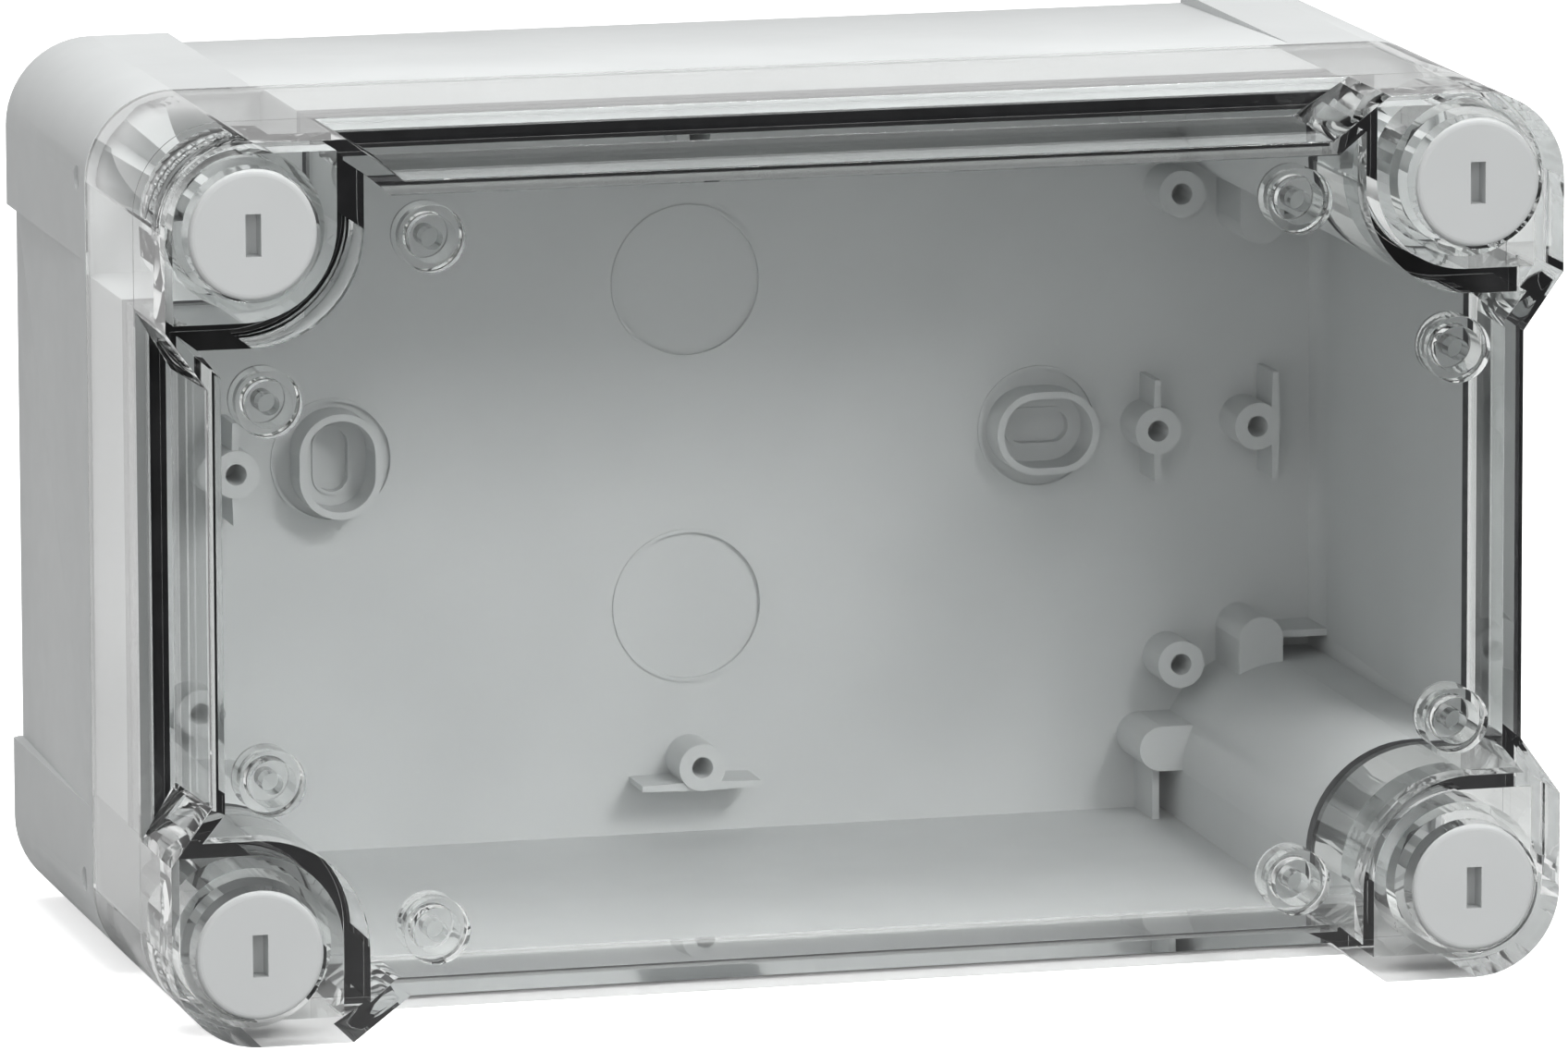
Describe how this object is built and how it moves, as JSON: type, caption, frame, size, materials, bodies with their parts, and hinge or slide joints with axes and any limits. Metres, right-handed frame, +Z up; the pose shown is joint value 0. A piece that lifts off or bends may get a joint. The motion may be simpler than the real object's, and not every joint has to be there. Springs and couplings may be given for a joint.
{
  "type": "wall-mount enclosure",
  "caption": "Rectangular wall-mount enclosure: grey box base with corner columns and screw bosses, deep clear cover with raised window, sealing cord and quarter-turn corner screws.",
  "frame": {"origin": "centre of the flat back face, in the plane of the back", "axes": "+X along the long side to the right seen from the front, +Z up, the back faces +Y and the cover faces -Y"},
  "size_m": [0.192, 0.105, 0.121],
  "materials": {
    "shell_grey": "fine satin moulded surface, light grey",
    "cover_clear": "clear polished",
    "seal_black": "matt foamed elastomer",
    "screw_grey": "satin moulded surface, light grey",
    "ring_black": "matt elastomer"
  },
  "bodies": {
    "base": {"base_shell": "shell_grey"},
    "cover": {"cover": "cover_clear", "cover_seal": "seal_black"},
    "screw_tl": {"screw_tl": "screw_grey", "screw_ring_tl": "ring_black"},
    "screw_tr": {"screw_tr": "screw_grey", "screw_ring_tr": "ring_black"},
    "screw_bl": {"screw_bl": "screw_grey", "screw_ring_bl": "ring_black"},
    "screw_br": {"screw_br": "screw_grey", "screw_ring_br": "ring_black"}
  },
  "joints": [
    {"name": "cover_lift", "type": "slide", "parent": "base", "child": "cover", "axis": [0, -1, 0], "range_m": [0, 0.05]},
    {"name": "screw_turn_tl", "type": "hinge", "parent": "cover", "child": "screw_tl", "pos_m": [-0.084, -0.1, 0.0482], "axis": [0, 1, 0], "range_deg": [0, 90]},
    {"name": "screw_turn_tr", "type": "hinge", "parent": "cover", "child": "screw_tr", "pos_m": [0.084, -0.1, 0.0482], "axis": [0, 1, 0], "range_deg": [0, 90]},
    {"name": "screw_turn_bl", "type": "hinge", "parent": "cover", "child": "screw_bl", "pos_m": [-0.084, -0.1, -0.0482], "axis": [0, 1, 0], "range_deg": [0, 90]},
    {"name": "screw_turn_br", "type": "hinge", "parent": "cover", "child": "screw_br", "pos_m": [0.084, -0.1, -0.0482], "axis": [0, 1, 0], "range_deg": [0, 90]}
  ]
}
